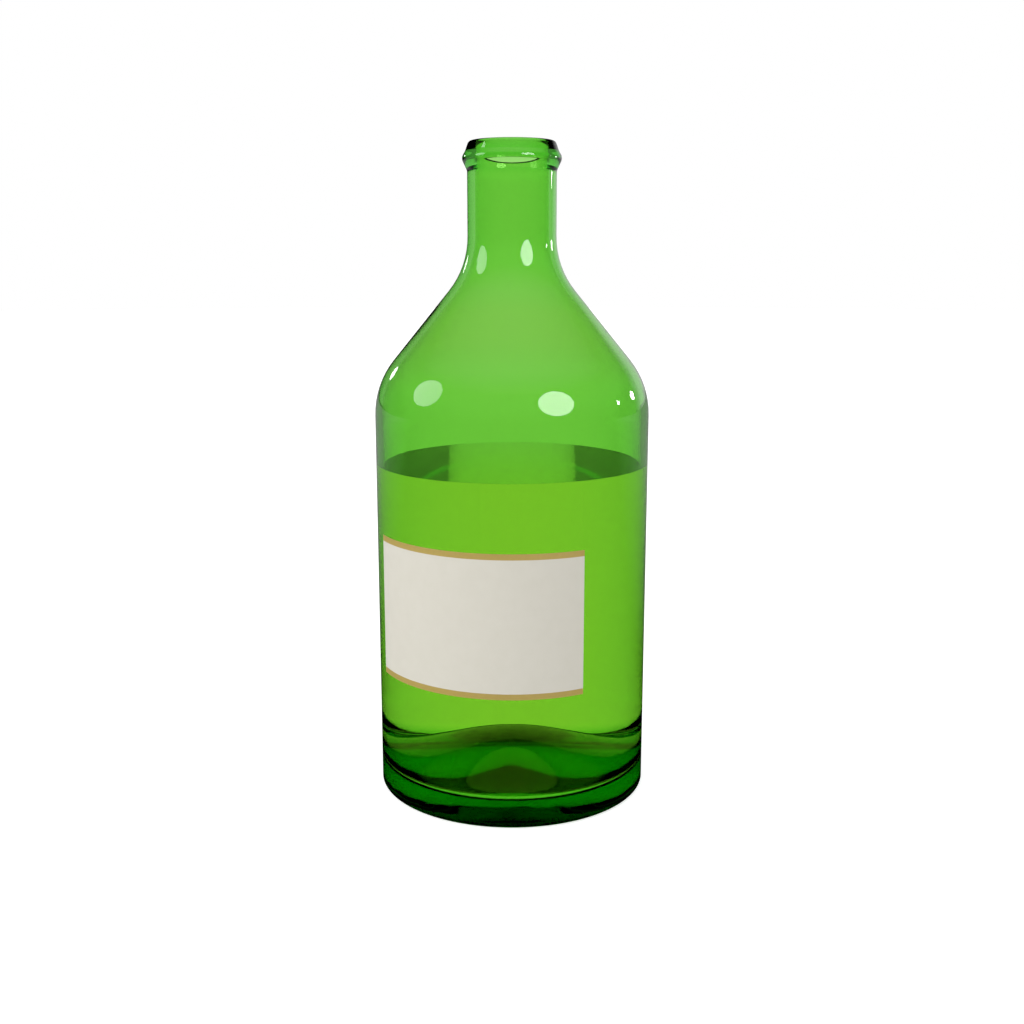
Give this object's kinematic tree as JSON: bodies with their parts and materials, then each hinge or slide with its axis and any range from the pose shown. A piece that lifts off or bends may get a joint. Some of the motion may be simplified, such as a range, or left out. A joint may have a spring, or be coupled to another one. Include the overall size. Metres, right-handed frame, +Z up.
{
  "type": "wine bottle",
  "caption": "Stubby round wine bottle of thick green glass with a ringed open mouth, part filled with white wine, and a blank paper label edged in gold.",
  "frame": {"origin": "centre of the circle the bottle stands on, on its axis", "axes": "+Z up along the bottle's axis, out of its mouth; -Y is the front, where the label is centred"},
  "size_m": [0.088, 0.0881, 0.2084],
  "materials": {
    "green_glass": "polished",
    "wine": "polished",
    "label_paper": "matte"
  },
  "bodies": {
    "root": {"bottle": "green_glass", "wine": "wine", "label": "label_paper"}
  },
  "joints": []
}
